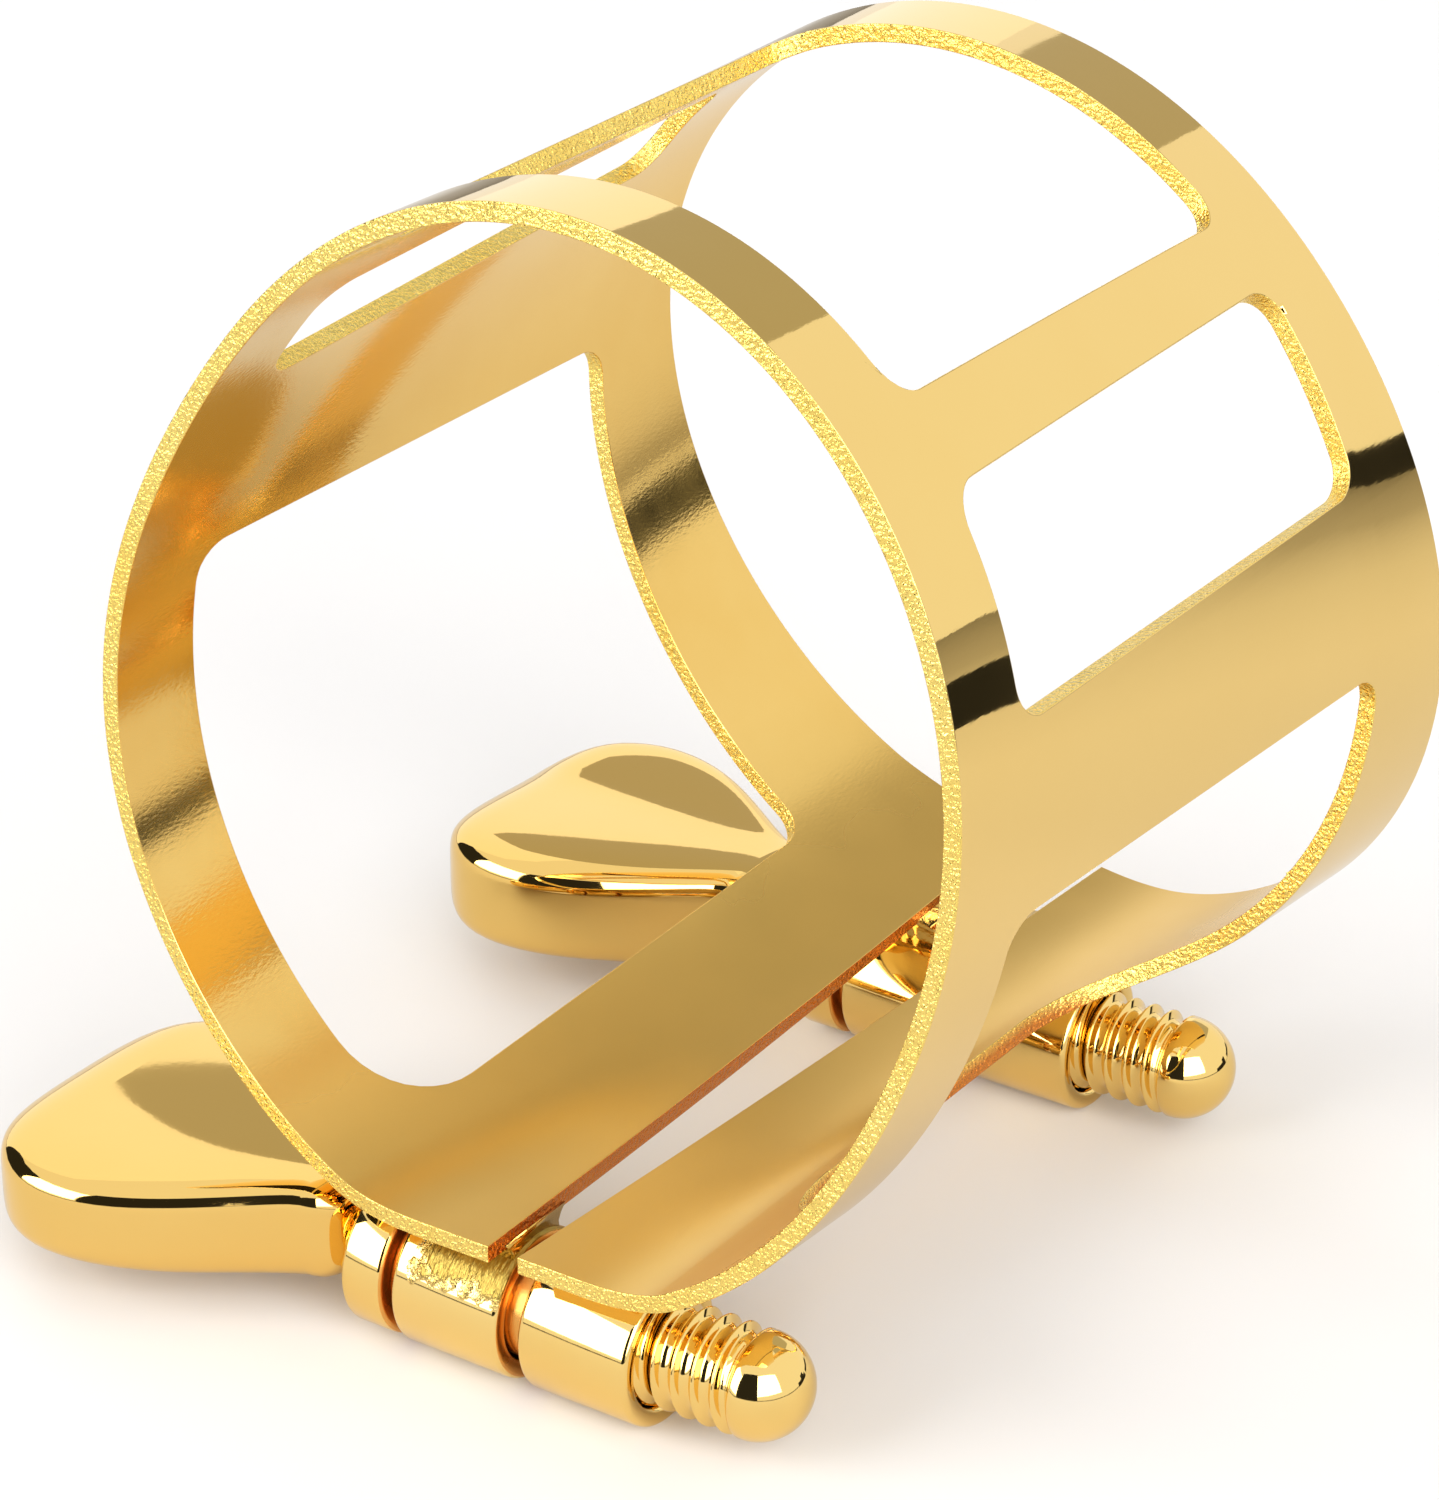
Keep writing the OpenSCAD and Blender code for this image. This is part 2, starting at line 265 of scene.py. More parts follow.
# %% Gold materials
def plated(tree, out, colour, roughness, normal):
    """The metal shader itself, linked to the output."""
    look = {"Base Color": colour, "Metallic": 1.0, "Roughness": roughness, "Normal": normal}
    shader = add(tree, "ShaderNodeBsdfPrincipled", **look)
    tree.links.new(shader.outputs[0], out.inputs[0])


# how far the roughness drifts either way, and the heights where the satin dulls and is painted a darker,
# warmer gold as shade
ROUGH_SWING = 0.3
PLATE_HEIGHTS = (-9 * MM, -12.5 * MM)


def gold(name, colour, stain, roughness, grain_mm, depth_mm, stretch=(1, 1, 1), wave_mm=0.0, low_rough=0.0):
    """Plated metal: colour and roughness drift slowly, and fine grain tilts the surface.

    wave_mm adds a slow roll to the surface, and low_rough dulls the lowest part and paints it a darker,
    warmer gold, a painted shade.
    """
    material, tree, out = empty_material(name)
    place = add(tree, "ShaderNodeTexCoord").outputs["Object"]
    slow = add(tree, "ShaderNodeTexNoise", Vector=place, Scale=220.0, Detail=3.0, Roughness=0.6)
    mixed = blended(tree, slow.outputs["Fac"], linear(colour), linear(stain))
    swing = ROUGH_SWING * roughness
    dull = ranged(tree, slow.outputs["Fac"], 0.3, 0.7, roughness - swing, roughness + swing)
    if low_rough:
        height = add(tree, "ShaderNodeSeparateXYZ", Vector=place).outputs["Z"]
        more = ranged(tree, height, *PLATE_HEIGHTS, 0.0, low_rough)
        dull = add(tree, "ShaderNodeMath", {"operation": "ADD"}, i0=dull, i1=more).outputs[0]
        # painted shade: the lowest part of the inside turns a darker, warmer gold
        low_shade_share = ranged(tree, height, *PLATE_HEIGHTS)
        mixed = blended(tree, low_shade_share, mixed.outputs[2], linear("E3BC68"))
    laid = add(tree, "ShaderNodeMapping", Vector=place, Scale=stretch)
    grain = add(tree, "ShaderNodeTexNoise", Vector=laid.outputs[0], Scale=1 / (grain_mm * MM), Detail=2.0)
    tilt = add(tree, "ShaderNodeBump", Strength=1.0, Distance=depth_mm * MM, Height=grain.outputs["Fac"])
    if wave_mm:
        wave = add(tree, "ShaderNodeTexNoise", Vector=place, Scale=160.0, Detail=0.0)
        relief = {"Distance": wave_mm * MM, "Height": wave.outputs["Fac"], "Normal": tilt.outputs[0]}
        tilt = add(tree, "ShaderNodeBump", Strength=1.0, **relief)
    plated(tree, out, mixed.outputs[2], dull, tilt.outputs[0])
    return material


# polished outside: a clean mirror, frayed by hair lines drawn about 0.12 mm apart
outside_gold = gold("polished_gold_plate", "F5D382", "F3CF7C", 0.035, 0.12, 0.00035, (1, 0.25, 1), 0.004)
# short barrel polish inside: grain of 0.09 mm, stains a few millimetres wide
satin = {"roughness": 0.12, "grain_mm": 0.09, "depth_mm": 0.0022, "wave_mm": 0.004, "low_rough": 0.2}
inside_gold = gold("satin_gold_plate", "F4D07E", "EEC268", stretch=(1, 0.5, 1), **satin)
# punched faces: torn crystals of 0.1 mm that glitter, in a paler gold than the face: a painted highlight
# along the cut edges
edge_gold = gold("punched_gold_edge", "FFE98C", "F6CE5C", 0.22, 0.11, 0.080)


def paint_slit_shade(material):
    """Turns faces that look sideways, low on the band, brown: painted shade in the narrow slit between the
    lap plates.
    """
    tree = material.node_tree
    base = tree.nodes["Principled BSDF"].inputs["Base Color"]
    facing = add(tree, "ShaderNodeTexCoord").outputs["Normal"]
    sideways = add(tree, "ShaderNodeSeparateXYZ", Vector=facing).outputs["X"]
    steep = add(tree, "ShaderNodeMath", {"operation": "ABSOLUTE"}, i0=sideways).outputs[0]
    place = add(tree, "ShaderNodeTexCoord").outputs["Object"]
    height = add(tree, "ShaderNodeSeparateXYZ", Vector=place).outputs["Z"]
    shares = {"i0": ranged(tree, steep, 0.6, 0.8), "i1": ranged(tree, height, -12.6 * MM, -13.0 * MM)}
    both = add(tree, "ShaderNodeMath", {"operation": "MULTIPLY"}, **shares)
    shade_in_slit = blended(tree, both.outputs[0], base.links[0].from_socket, linear("D9873C"))
    tree.links.new(shade_in_slit.outputs[2], base)


# painted shade on the cut edges that face each other across the slit
paint_slit_shade(edge_gold)
# turned and drawn brass of the barrels and screws, a little redder under its plate
turned_gold = gold("turned_gold_plate", "FBDA8A", "F8D27C", 0.045, 0.10, 0.0003, (0.3, 1, 1), 0.002)
# cast brass of the paddles, tumbled: no hair lines, only a faint roll of the surface
paddle_gold = gold("tumbled_gold_plate", "F6D07C", "F4CB74", 0.035, 0.3, 0.0003)
print("gold materials made")

# %% [markdown]
# ## The band
#
# On the real one a blank is punched flat and then rolled. We do the same, because flat work
# is easy work: the windows are outlined and their corners rounded while everything still
# lies in one plane, where X is the angle round the band in degrees and Y the length in
# millimetres. Filling between the outlines gives the sheet, and `bisect_plane` slices it
# finely, so that it can bend smoothly. Points crowded against an edge are drawn out onto
# it, because the bevel that breaks the edges needs room beside them. Only then is every
# point rolled to its place.

# %% Sizes of the band
FRONT_R, REAR_R = 13.5, 12.7
LENGTH, FLARE, SHEET = 23.1, 2.6, 0.5
FRONT_RING, REAR_RING = 2.9, 2.8
PLATE_DROP, REAR_DROP, REAR_SHIFT = 13.9, 0.45, 0.45
PLATE_LEFT, PLATE_RIGHT = -155.0, 160.0
# what makes the round wall oval, lean, belly and swell, each at the front and the rear
OVAL, LEAN, BELLY, SWELL = (1.1, 0.4), (0.75, -0.9), (0.15, 0), (0.15, 0)
SOFT = 0.6
SLIT_LEFT, SLIT_RIGHT = -1.1, (-0.2, 1.7)
WINDOWS = [
    # low side, high side, turn of each side along the length, corner radii
    (PLATE_LEFT, -79.5, 0.0, 0.0, (2.6, 1.0, 1.0, 1.0)),
    (-52.5, -36.0, 0.0, 0.0, (1.0, 1.0, 1.0, 1.0)),
    (-26.0, 37.5, 0.0, -3.5, (1.0, 1.0, 1.0, 1.0)),
    (47.0, 73.0, -3.5, 0.0, (1.0, 1.0, 1.0, 1.0)),
    (96.5, PLATE_RIGHT, 0.0, 0.0, (1.0, 1.0, 4.0, 4.0)),
]
PER_DEGREE = math.pi * (FRONT_R + REAR_R) / 360
print("one degree of the band is", round(PER_DEGREE, 3), "mm")


# %% Punch the blank
def outline(bm, corners, radii):
    """A closed outline with rounded corners, left as edges only."""
    verts = [bm.verts.new((x, y, 0)) for x, y in corners]
    face = bm.faces.new(verts)
    for vert, radius in zip(verts, radii):
        if radius:
            corner = {"offset": radius, "affect": "VERTICES", "segments": 10}
            bmesh.ops.bevel(bm, geom=[vert], **corner, profile=0.5, material=-1)
    bmesh.ops.delete(bm, geom=[f for f in bm.faces if f.is_valid], context="FACES_ONLY")


blank = bmesh.new()
wide = PER_DEGREE
half = 180 * wide
outline(blank, [(-half, 0), (half, 0), (half, LENGTH), (-half, LENGTH)], (0, 0, 0, 0))
near, far = FRONT_RING, LENGTH - REAR_RING
for low, high, low_turn, high_turn, radii in WINDOWS:
    sides = [(low, near, low_turn), (high, near, high_turn), (high, far, high_turn), (low, far, low_turn)]
    corners = [((a + turn * (y / LENGTH - 0.5)) * wide, y) for a, y, turn in sides]
    outline(blank, corners, (radii[0], radii[2], radii[3], radii[1]))
bmesh.ops.triangle_fill(blank, use_beauty=True, use_dissolve=False, edges=blank.edges[:], normal=(0, 0, 1))
print("blank:", len(blank.faces), "faces,", round(sum(f.calc_area() for f in blank.faces)), "mm2 of brass")


# %% Slice it finely
def slice_at(bm, point, normal):
    """One straight cut right across the sheet."""
    whole = bm.verts[:] + bm.edges[:] + bm.faces[:]
    bmesh.ops.bisect_plane(bm, geom=whole, dist=1e-5, plane_co=point, plane_no=normal)


def join_slanted(bm):
    """Takes out the slanted edges that filling left between faces."""
    loose = []
    for edge in bm.edges:
        run = edge.verts[1].co - edge.verts[0].co
        if len(edge.link_faces) == 2 and min(abs(run.x), abs(run.y)) > 1e-4:
            loose.append(edge)
    bmesh.ops.dissolve_edges(bm, edges=loose, use_verts=False)
    needless = []
    for vert in bm.verts:
        if len(vert.link_edges) == 2:
            a, b = (edge.other_vert(vert).co - vert.co for edge in vert.link_edges)
            if a.length > 0 and b.length > 0 and a.angle(b) > math.pi - 1e-3:
                needless.append(vert)
    bmesh.ops.dissolve_verts(bm, verts=needless)


# these cuts miss the window edges, so no sliver is left beside a rounded corner
for low, high, *_ in WINDOWS:
    for angle in (low - 2.5, (low + high) / 2, high + 2.5):
        slice_at(blank, (angle * wide, 0, 0), (1, 0, 0))
for y in (near - 0.25, LENGTH / 2, far + 0.25):
    slice_at(blank, (0, y, 0), (0, 1, 0))
join_slanted(blank)
# off the whole degrees, so that no cut runs along the side of a window
OFF_DEGREE = 0.27
for step in range(-180, 180):
    slice_at(blank, ((step + OFF_DEGREE) * wide, 0, 0), (1, 0, 0))
rows = 20
for step in range(1, rows):
    slice_at(blank, (0, LENGTH * step / rows, 0), (0, 1, 0))
join_slanted(blank)
bmesh.ops.remove_doubles(blank, verts=blank.verts, dist=0.004)
# a point this near the edge would be passed by the bevel, and its corner would shade wrongly
CROWDED = 0.09
welds = {}
for vert in blank.verts:
    if not vert.is_boundary:
        close = [e for e in vert.link_edges if e.calc_length() < CROWDED and e.other_vert(vert).is_boundary]
        if close:
            welds[vert] = min(close, key=lambda e: e.calc_length()).other_vert(vert)
bmesh.ops.weld_verts(blank, targetmap=welds)
print("drew", len(welds), "crowded points out to the edge")
print("sliced into", len(blank.faces), "faces")


# %% Roll it round
def mix(a, b, t):
    """From a to b by a share t."""
    return a + (b - a) * t


def wall(angle, t):
    """Distance of the outside from the axis, at an angle and a share of the length."""
    a = math.radians(angle)
    radius = mix(FRONT_R, REAR_R, t) + mix(*OVAL, t) * math.cos(2 * a) + mix(*LEAN, t) * math.sin(2 * a)
    radius += mix(*BELLY, t) * math.sin(3 * a) + mix(*SWELL, t) * math.cos(4 * a)
    if math.cos(a) > -0.5:
        return radius
    level = (PLATE_DROP - REAR_DROP * t) / max(-math.cos(a), 0.5)
    h = min(1, max(0, 0.5 + 0.5 * (level - radius) / SOFT))
    return mix(level, radius, h) - SOFT * h * (1 - h)


def plate_angle(x, t):
    """Angle from straight down to a point on the lap plates."""
    return math.degrees(math.atan((x - REAR_SHIFT * t) / (PLATE_DROP - REAR_DROP * t)))


def on_sheet(angle, y, depth=0.0):
    """The point at that angle and length, that deep in the sheet, in millimetres."""
    t = y / LENGTH
    r, a = wall(angle, t) - depth, math.radians(angle)
    return Vector((REAR_SHIFT * t + r * math.sin(a), y, r * math.cos(a) - REAR_DROP * t))


def rolled(point):
    """Where a point of the flat blank goes when the band is rolled."""
    angle, y = point.x / wide, point.y
    if y > far:
        y = far + (y - far) * (REAR_RING + FLARE * (angle / 180) ** 2) / REAR_RING
    t = y / LENGTH
    if angle < PLATE_LEFT:
        end = -180 - plate_angle(SLIT_LEFT, t)
        angle = PLATE_LEFT + (angle - PLATE_LEFT) * (end - PLATE_LEFT) / (-180 - PLATE_LEFT)
    if angle > PLATE_RIGHT:
        end = 180 - plate_angle(mix(*SLIT_RIGHT, t), t)
        angle = PLATE_RIGHT + (angle - PLATE_RIGHT) * (end - PLATE_RIGHT) / (180 - PLATE_RIGHT)
    return on_sheet(angle, y)


for vert in blank.verts:
    vert.co = rolled(vert.co) * MM
bmesh.ops.recalc_face_normals(blank, faces=blank.faces)
mouth = min(blank.faces, key=lambda f: (f.calc_center_median() - Vector((0, 0.001, 0.0148))).length)
if mouth.normal.z < 0:
    bmesh.ops.reverse_faces(blank, faces=blank.faces)
band = new_object("rolled_band", blank, outside_gold, inside_gold, edge_gold)
for face in band.data.polygons:
    face.use_smooth = True
print("band:", len(band.data.polygons), "faces")

# %% [markdown]
# A Solidify modifier gives the sheet its half millimetre, inwards, and puts the satin
# plate on the inside and the punched look on the rim. A Bevel of a few hundredths breaks
# the sharp edges, as tumbling does, and catches the thin bright line along every edge.

# %% Thickness and broken edges
thick = band.modifiers.new("sheet", "SOLIDIFY")
thick.thickness = SHEET * MM
thick.offset = -1
thick.use_even_offset = True
thick.material_offset = 1
thick.material_offset_rim = 2
broken = band.modifiers.new("broken_edge", "BEVEL")
broken.width = 0.04 * MM
broken.segments = 2
broken.limit_method = "ANGLE"
broken.angle_limit = math.radians(50)
broken.use_clamp_overlap = False
broken.harden_normals = True
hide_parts("band")
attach(band, "band_body")

# %% [markdown]
# ## Barrels, screws and tips: turned parts
#
# These come off a lathe, so each is a profile spun round its axis. `spin` with `use_merge`
# closes the last step onto the first. The normals are recalculated afterwards, because a
# spin can turn a shape inside out, and the sharp rims are bevelled as a lathe hand would.

# %% Lathe helper
AXIS_Z = -16.1
FRONT_Y, REAR_Y = 2.0, 21.7
BARREL_R, BORE_R, BARREL_LEN = 2.05, 1.53, 3.35
THREAD_R, ROOT_R, PITCH = 1.45, 1.15, 0.6


def pour(part, bm):
    """Moves a finished, smooth part into the bmesh of the whole piece."""
    for face in part.faces:
        face.smooth = True
    mesh = bpy.data.meshes.new("part")
    part.to_mesh(mesh)
    part.free()
    bm.from_mesh(mesh)
    bpy.data.meshes.remove(mesh)


def turned(bm, profile, y, closed=False, steps=96, rim=0.0):
    """Spins a profile of (x, radius) points round a screw axis, in millimetres."""
    part = bmesh.new()
    verts = [part.verts.new((x, y, AXIS_Z + r)) for x, r in profile]
    for a, b in zip(verts, verts[1:] + (verts[:1] if closed else [])):
        if a is not b:
            part.edges.new((a, b))
    whole = {"geom": part.verts[:] + part.edges[:], "cent": (0, y, AXIS_Z), "axis": (1, 0, 0)}
    bmesh.ops.spin(part, **whole, angle=2 * math.pi, steps=steps, use_merge=True)
    bmesh.ops.remove_doubles(part, verts=part.verts, dist=1e-4)
    bmesh.ops.recalc_face_normals(part, faces=part.faces)
    if rim:
        sharp = [e for e in part.edges if len(e.link_faces) == 2 and e.calc_face_angle() > math.radians(35)]
        broken = {"offset": rim, "affect": "EDGES", "segments": 3}
        bmesh.ops.bevel(part, geom=sharp, **broken, profile=0.5, material=-1)
    pour(part, bm)


def finished(name, bm, body, node, *materials, slot="plated_brass"):
    """Scales a piece from millimetres, and hangs it on its CAD body."""
    bmesh.ops.scale(bm, vec=(MM, MM, MM), verts=bm.verts)
    obj = new_object(name, bm, *materials)
    if node:
        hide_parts(node)
    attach(obj, body)
    print(name, len(obj.data.polygons), "faces")
    return obj


# %% [markdown]
# Each screw runs through two barrels. The one by the collar is plain, and the far one is
# tapped. Solder has crept over the top of the front plain barrel and was filed flat before
# plating, which leaves a dull, scratched patch under the bright plate. In the narrow gaps
# the end faces and the shank are painted browner, a painted shade, and are made duller.

# %% Filed solder under the plate
def filed_patch(name, low):
    """Turned gold with a filed patch on top, from that place along X to the end."""
    material, tree, out = empty_material(name)
    place = add(tree, "ShaderNodeTexCoord").outputs["Object"]
    apart = add(tree, "ShaderNodeSeparateXYZ", Vector=place)
    ragged = add(tree, "ShaderNodeTexNoise", Vector=place, Scale=2600.0, Detail=4.0)
    sway = {"i0": ragged.outputs["Fac"], "i1": 1.3 * MM, "i2": -0.65 * MM}
    shift = add(tree, "ShaderNodeMath", {"operation": "MULTIPLY_ADD"}, **sway)
    height = add(tree, "ShaderNodeMath", {"operation": "ADD"}, i0=apart.outputs["Z"], i1=shift.outputs[0])
    above = ranged(tree, height.outputs[0], -15.25 * MM, -14.95 * MM)
    along = add(tree, "ShaderNodeMath", {"operation": "ADD"}, i0=apart.outputs["X"], i1=shift.outputs[0])
    inside = ranged(tree, along.outputs[0], low * MM, (low + 0.25) * MM)
    patch = add(tree, "ShaderNodeMath", {"operation": "MULTIPLY"}, i0=above, i1=inside)
    files = add(tree, "ShaderNodeMapping", Vector=place, Scale=(1, 0.15, 0.15))
    marks = add(tree, "ShaderNodeTexNoise", Vector=files.outputs[0], Scale=9000.0, Detail=3.0)
    scratched = {"i0": marks.outputs["Fac"], "i1": patch.outputs[0]}
    deep = add(tree, "ShaderNodeMath", {"operation": "MULTIPLY"}, **scratched)
    tilt = add(tree, "ShaderNodeBump", Strength=1.0, Distance=0.09 * MM, Height=deep.outputs[0])
    colour = blended(tree, patch.outputs[0], linear("FBDA8A"), linear("A98F45"))
    rough = ranged(tree, patch.outputs[0], 0.0, 1.0, 0.045, 0.3)
    plated(tree, out, colour.outputs[2], rough, tilt.outputs[0])
    return material


# painted shade for the narrow gaps: a browner, duller gold
gap_shade_gold = gold("painted_shade_in_the_gaps", "F3B865", "E09B48", 0.3, 0.1, 0.003)


def paint_gap_shade(obj, chosen):
    """Puts the painted gap shade on the faces of a piece that the test picks."""
    obj.data.materials.append(gap_shade_gold)
    for face in obj.data.polygons:
        if chosen(face.center / MM, face.normal):
            face.material_index = 1


filed_gold = filed_patch("filed_solder_under_plate", -3.75)

# %% Four barrels
FRONT_GAP, REAR_GAP = (-0.925, -0.275), (0.225, 0.875)
for name, start, y, material in (
    ("front_plain_barrel", FRONT_GAP[0] - BARREL_LEN, FRONT_Y, filed_gold),
    ("front_threaded_barrel", FRONT_GAP[1], FRONT_Y, turned_gold),
    ("rear_plain_barrel", REAR_GAP[0] - BARREL_LEN, REAR_Y, turned_gold),
    ("rear_threaded_barrel", REAR_GAP[1], REAR_Y, turned_gold),
):
    bm = bmesh.new()
    end = start + BARREL_LEN
    section = [(start, BORE_R), (start, BARREL_R), (end, BARREL_R), (end, BORE_R)]
    turned(bm, section, y, closed=True, rim=0.16)
    barrel = finished("turned_" + name, bm, "band_body", name, material)
    if "plain" in name:
        # painted shade on both end faces of the plain barrel
        paint_gap_shade(barrel, lambda at, normal: abs(normal.x) > 0.75)

# %% [markdown]
# ## The screws
#
# A real thread is cut by a tool that moves along while the bar turns. `spin` does just that
# when it is given a `dvec`, a small step along the axis with every step round. One tooth
# is spun for as many turns as the thread has, neighbouring turns are welded, and
# the two open ends are drawn in to a point on the axis, hidden inside the solid ends.


# %% Cut the thread
def thread(bm, start, turns, y, steps=48):
    """A helical thread as one closed skin, from start along +X."""
    part = bmesh.new()
    tooth = [(0.0, ROOT_R + 0.03), (0.15, ROOT_R + 0.04), (0.21, ROOT_R + 0.1)]
    tooth += [(0.265, THREAD_R - 0.03), (0.30, THREAD_R)]
    tooth += [(PITCH - x, r) for x, r in reversed(tooth[:-1])]
    verts = [part.verts.new((start + x, y, AXIS_Z + r)) for x, r in tooth]
    for a, b in zip(verts, verts[1:]):
        part.edges.new((a, b))
    whole = {"geom": part.verts[:] + part.edges[:], "cent": (0, y, AXIS_Z), "axis": (1, 0, 0)}
    climb = {"dvec": (PITCH / steps, 0, 0), "angle": 2 * math.pi * turns, "steps": steps * turns}
    bmesh.ops.spin(part, **whole, **climb, use_merge=False)
    bmesh.ops.remove_doubles(part, verts=part.verts, dist=2e-3)
    middle = start + PITCH * (turns + 1) / 2
    for side, hub in ((-1, start + 0.3), (1, start + PITCH * (turns + 1) - 0.3)):
        rim = [e for e in part.edges if e.is_boundary and side * (e.verts[0].co.x - middle) > 0]
        grown = bmesh.ops.extrude_edge_only(part, edges=rim)["geom"]
        tips = [v for v in grown if isinstance(v, bmesh.types.BMVert)]
        bmesh.ops.pointmerge(part, verts=tips, merge_co=(hub, y, AXIS_Z))
    bmesh.ops.recalc_face_normals(part, faces=part.faces)
    pour(part, bm)


# %% Two screws
COLLAR_R, COLLAR_LEN, COLLAR_GAP, NECK_R, TIP_OUT = 2.0, 1.3, 0.35, 0.95, 2.7
for name, gap, y, neck in (
    ("front_screw", FRONT_GAP, FRONT_Y, 1.0),
    ("rear_screw", REAR_GAP, REAR_Y, 1.9),
):
    bm = bmesh.new()
    collar = gap[0] - BARREL_LEN - COLLAR_GAP - COLLAR_LEN
    shank_end = gap[1] + 0.6
    body_end = gap[1] + BARREL_LEN + TIP_OUT
    head = [(collar - neck, 0), (collar - neck, NECK_R), (collar, NECK_R)]
    head += [(collar, COLLAR_R), (collar + COLLAR_LEN, COLLAR_R)]
    head += [(collar + COLLAR_LEN, THREAD_R), (shank_end, THREAD_R), (shank_end, 0)]
    turned(bm, head, y, rim=0.14)
    sweep = [math.radians(k * 7.5) for k in range(13)]
    arc = [(body_end + THREAD_R * math.sin(a), THREAD_R * math.cos(a)) for a in sweep]
    arc[-1] = (body_end + THREAD_R, 0)
    foot = [(body_end - 0.3, 0), (body_end - 0.3, ROOT_R), (body_end - 0.08, THREAD_R - 0.04)]
    turned(bm, foot + arc, y)
    turns = round((body_end - gap[1] - 0.5) / PITCH)
    thread(bm, body_end - PITCH * (turns + 0.6), turns, y)
    screw = finished("turned_" + name, bm, name + "_body", name, turned_gold)
    shank = collar + COLLAR_LEN - 0.05
    # painted shade on the shank from the collar through the gaps
    paint_gap_shade(screw, lambda at, normal: shank < at.x < gap[1] + 0.3)

# %% [markdown]
# ## The thumb paddles
#
# Each paddle is a small cast pebble with a dished face for the thumb. Its section is a
# circle whose points are pushed towards the corners, most at the back of the face, where
# the edge is crispest. The first ring is drawn at the neck, then extruded again and again,
# each new ring scaled to the width and thickness that the pebble has there. Both ends are
# closed with a face, and last the face's front edge is raised, which dishes it.

# %% Cast the paddles
PADDLE_LEN, PADDLE_W, PADDLE_T = 10.2, 9.6, 3.2
NECK_HALF = 1.75


def half_width(s):
    """Half the width at a share s of the length: a long taper, then a round end."""
    if s < 0.05:
        return NECK_HALF * (1 - ((0.05 - s) / 0.12) ** 2) ** 0.5
    if s < 0.65:
        return mix(NECK_HALF, PADDLE_W / 2, math.sin(math.radians(150 * (s - 0.05))) ** 1.15)
    return PADDLE_W / 2 * max(0.0, 1 - ((s - 0.65) / 0.35) ** 2.1) ** 0.5


def thickness(s, lift):
    """Middle height and half thickness: the face stays level, the underside drops from the neck."""
    top = lift + PADDLE_T / 2
    bottom = mix(-NECK_R, lift - PADDLE_T / 2, min(1, max(0, s / 0.35)))
    tip = max(0.0, 1 - (max(0.0, s - 0.8) / 0.2) ** 2.2) ** 0.5
    root = max(0.0, 1 - (max(0.0, 0.03 - s) / 0.1) ** 2) ** 0.5
    return (top + bottom) / 2, (top - bottom) / 2 * tip * root


def paddle(name, x, y, lift, body, dish, turn_in, lip):
    """A pebble from the neck at x out to -X, cranked up by lift.

    dish raises the face's front edge, turn_in says how far back that rise starts, and lip
    raises the back edge.
    """
    bm = bmesh.new()
    rings, around = 40, 72
    ring = bmesh.ops.create_circle(bm, segments=around, radius=1.0)["verts"]
    for vert in ring:
        a = math.atan2(vert.co.y, vert.co.x)
        across = math.copysign(abs(math.cos(a)) ** 0.8, math.cos(a))
        top_power = 0.13 if math.cos(a) > 0 else 0.3
        up = math.copysign(abs(math.sin(a)) ** (top_power if math.sin(a) > 0 else 0.5), math.sin(a))
        vert.co = (0, across, up)
    outline_s = [-0.045 + 0.495 * (i / (rings / 2)) ** 1.6 for i in range(rings // 2)]
    outline_s += [mix(0.45, 0.998, math.sin(math.pi / 2 * i / (rings / 2))) for i in range(rings // 2 + 1)]
    edges = list({e for v in ring for e in v.link_edges})
    before = outline_s[0]
    bmesh.ops.scale(bm, vec=(1, half_width(before), thickness(before, lift)[1]), verts=ring)
    bmesh.ops.translate(bm, vec=(-before * PADDLE_LEN, 0, 0), verts=ring)
    first = edges
    for s in outline_s[1:]:
        grown = bmesh.ops.extrude_edge_only(bm, edges=edges)["geom"]
        ring = [g for g in grown if isinstance(g, bmesh.types.BMVert)]
        edges = [g for g in grown if isinstance(g, bmesh.types.BMEdge)]
        edges = [e for e in edges if all(v in ring for v in e.verts)]
        thicker = thickness(s, lift)[1] / thickness(before, lift)[1]
        factor = (1, half_width(s) / half_width(before), thicker)
        bmesh.ops.scale(bm, vec=factor, verts=ring)
        bmesh.ops.translate(bm, vec=(-(s - before) * PADDLE_LEN, 0, 0), verts=ring)
        before = s
    bmesh.ops.contextual_create(bm, geom=edges)
    bmesh.ops.contextual_create(bm, geom=first)
    bmesh.ops.recalc_face_normals(bm, faces=bm.faces)
    for vert in bm.verts:
        s = min(1, -vert.co.x / PADDLE_LEN)
        middle, half = thickness(min(s, 0.998), lift)
        up = max(0, vert.co.z / half) ** 0.7
        side = vert.co.y / (PADDLE_W / 2)
        hollow = dish * (max(0, turn_in - side) / (1 + turn_in)) ** 1.25
        hollow += lip * (max(0, side - 0.1) / 0.9) ** 1.5
        vert.co += Vector((x, y, AXIS_Z + middle + up * hollow * (half_width(s) / (PADDLE_W / 2)) ** 0.5))
    for face in bm.faces:
        face.smooth = True
    finished("cast_" + name, bm, body, name, paddle_gold)


front_neck = FRONT_GAP[0] - BARREL_LEN - COLLAR_GAP - COLLAR_LEN - 1.0
rear_neck = REAR_GAP[0] - BARREL_LEN - COLLAR_GAP - COLLAR_LEN - 1.9
paddle("front_paddle", front_neck, FRONT_Y, 0.5, "front_paddle_body", 0.13, 1.0, 0.0)
paddle("rear_paddle", rear_neck, REAR_Y, 0.8, "rear_paddle_body", 0.72, 0.3, 0.2)

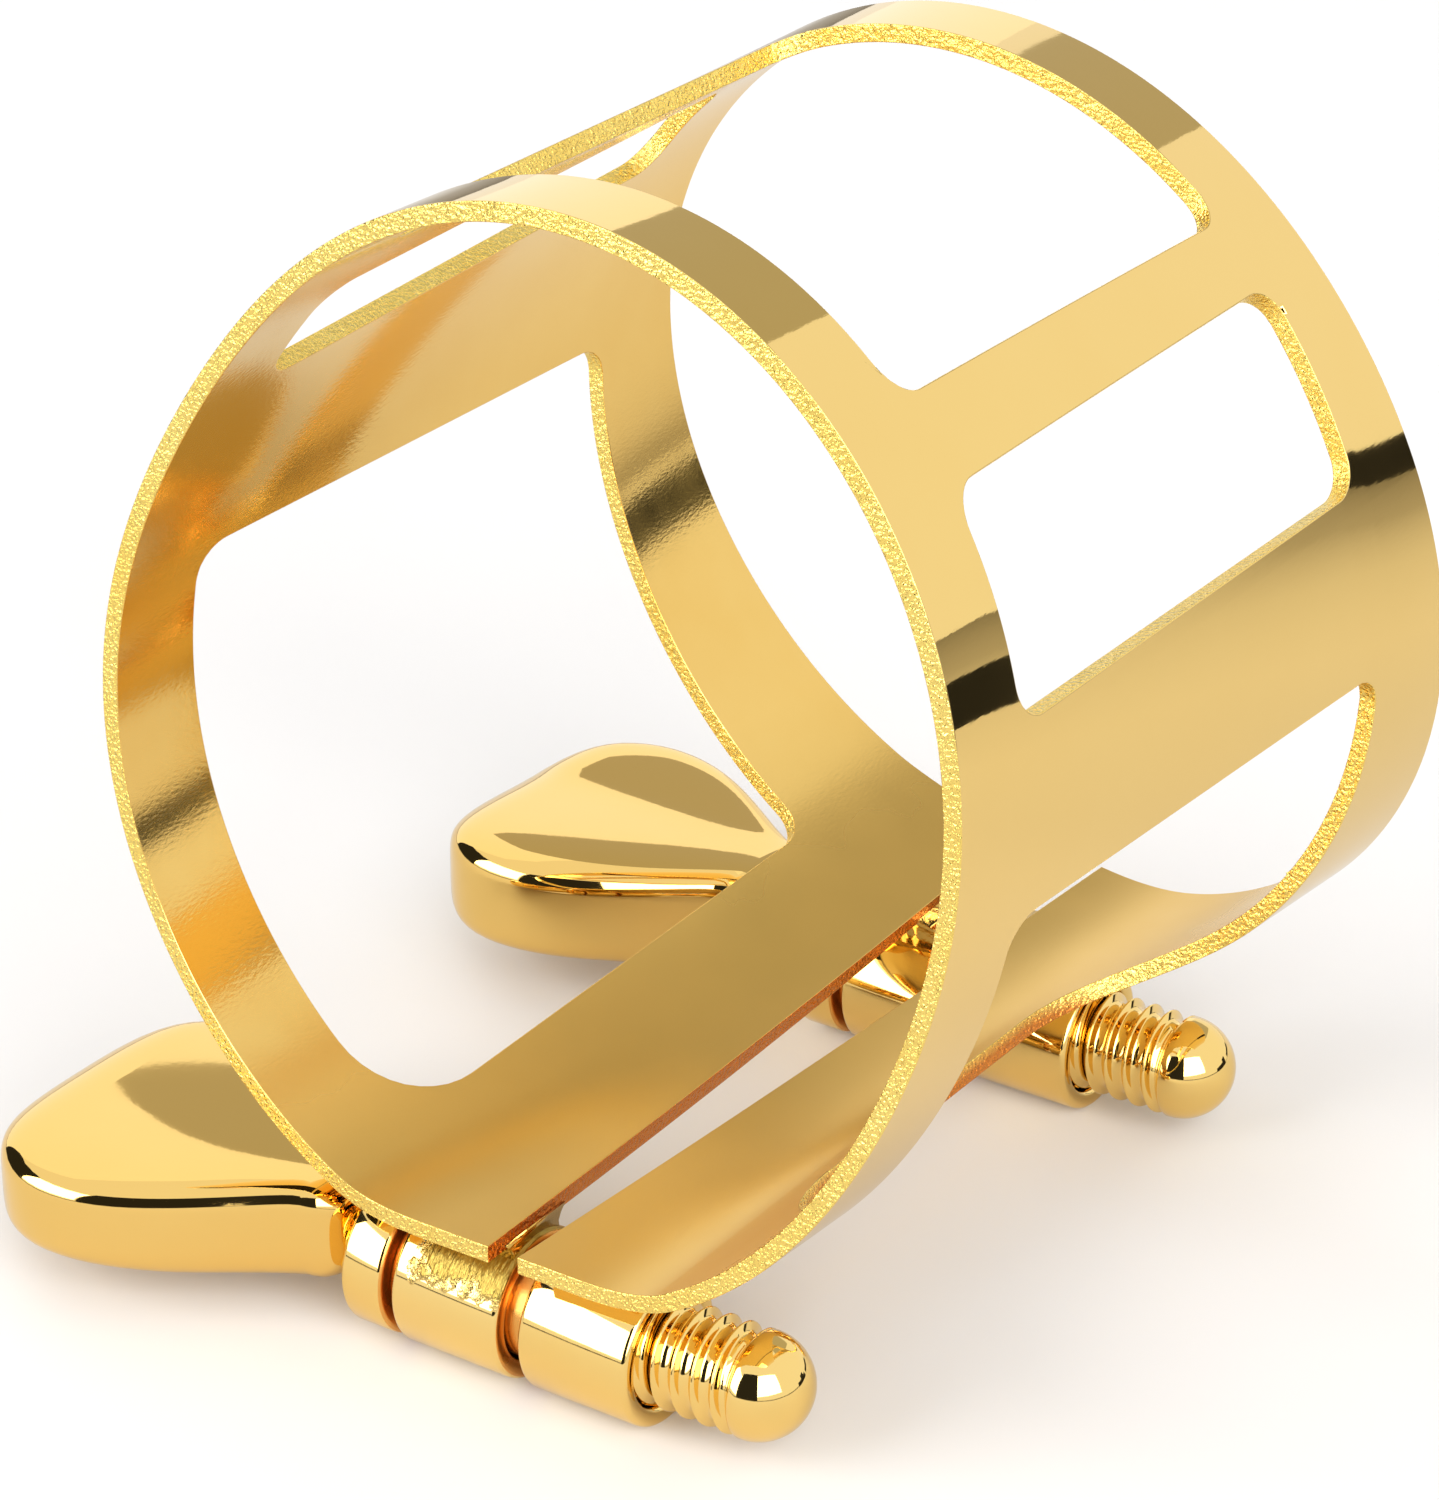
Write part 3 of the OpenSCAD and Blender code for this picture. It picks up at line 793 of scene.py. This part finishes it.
# %% [markdown]
# ## Brazing and solder
#
# The pebble is brazed to the screw's neck, and a lumpy bead of filler shows there.
# It is a small sphere, pulled long, whose points are pushed in and out by a noise. The
# solder that holds the barrels under the lap plates is drawn into the narrow gap as it
# flows, so each fillet is a bar with hollow sides, fitted to the barrel below and the plate
# above.

# %% Braze beads
braze_gold = gold("brazed_bead_plate", "FFD65A", "F2BC3A", 0.12, 0.25, 0.02)
for name, x, y, body in (
    ("front_braze", front_neck + 0.55, FRONT_Y, "front_paddle_body"),
    ("rear_braze", rear_neck + 0.55, REAR_Y, "rear_paddle_body"),
):
    bm = bmesh.new()
    bmesh.ops.create_icosphere(bm, subdivisions=5, radius=1.0)
    for vert in bm.verts:
        lump = 1 + 0.22 * noise.noise(vert.co * 2.3 + Vector((x, y, 0)))
        vert.co = Vector((vert.co.x * 0.5 * lump, vert.co.y * 1.12 * lump, vert.co.z * 1.12 * lump))
        vert.co += Vector((x, y, AXIS_Z))
    for face in bm.faces:
        face.smooth = True
    finished(name, bm, body, None, braze_gold, slot="plated_solder")

# %% Solder fillets
solder_gold = gold("flowed_solder_plate", "E3C06A", "C79B45", 0.16, 0.2, 0.02)


def fillet(name, start, y):
    """Solder between a barrel and the lap plate: a bar with hollow sides, fitted to both."""
    bm = bmesh.new()
    section = [(-1.0, 0.0), (-0.98, 0.35), (-1.08, 0.7), (-1.3, 1.0)]
    section = section + [(-a, share) for a, share in reversed(section)]
    verts = [bm.verts.new((start + 0.12, a, share)) for a, share in section]
    face = bm.faces.new(verts)
    steps = 16
    for step in range(steps):
        grown = bmesh.ops.extrude_face_region(bm, geom=[face])["geom"]
        face = next(g for g in grown if isinstance(g, bmesh.types.BMFace))
        bmesh.ops.translate(bm, vec=((BARREL_LEN - 0.24) / steps, 0, 0), verts=face.verts)
    for vert in bm.verts:
        x, a, share = vert.co
        t = (y + a) / LENGTH
        top = on_sheet(180 - plate_angle(x, t), y + a, 0.15).z
        foot = AXIS_Z + math.sqrt(BARREL_R**2 - a**2) - 0.05
        ripple = 0.05 * noise.noise(Vector((x * 1.7, a * 2, y)))
        vert.co = (x, y + a + ripple, mix(foot, top, share))
    bmesh.ops.recalc_face_normals(bm, faces=bm.faces)
    for face in bm.faces:
        face.smooth = True
    finished(name + "_fillet", bm, "band_body", name, solder_gold, slot="plated_solder")


for name, start, y in (
    ("front_plain_solder", FRONT_GAP[0] - BARREL_LEN, FRONT_Y),
    ("front_threaded_solder", FRONT_GAP[1], FRONT_Y),
    ("rear_plain_solder", REAR_GAP[0] - BARREL_LEN, REAR_Y),
    ("rear_threaded_solder", REAR_GAP[1], REAR_Y),
):
    fillet(name, start, y)
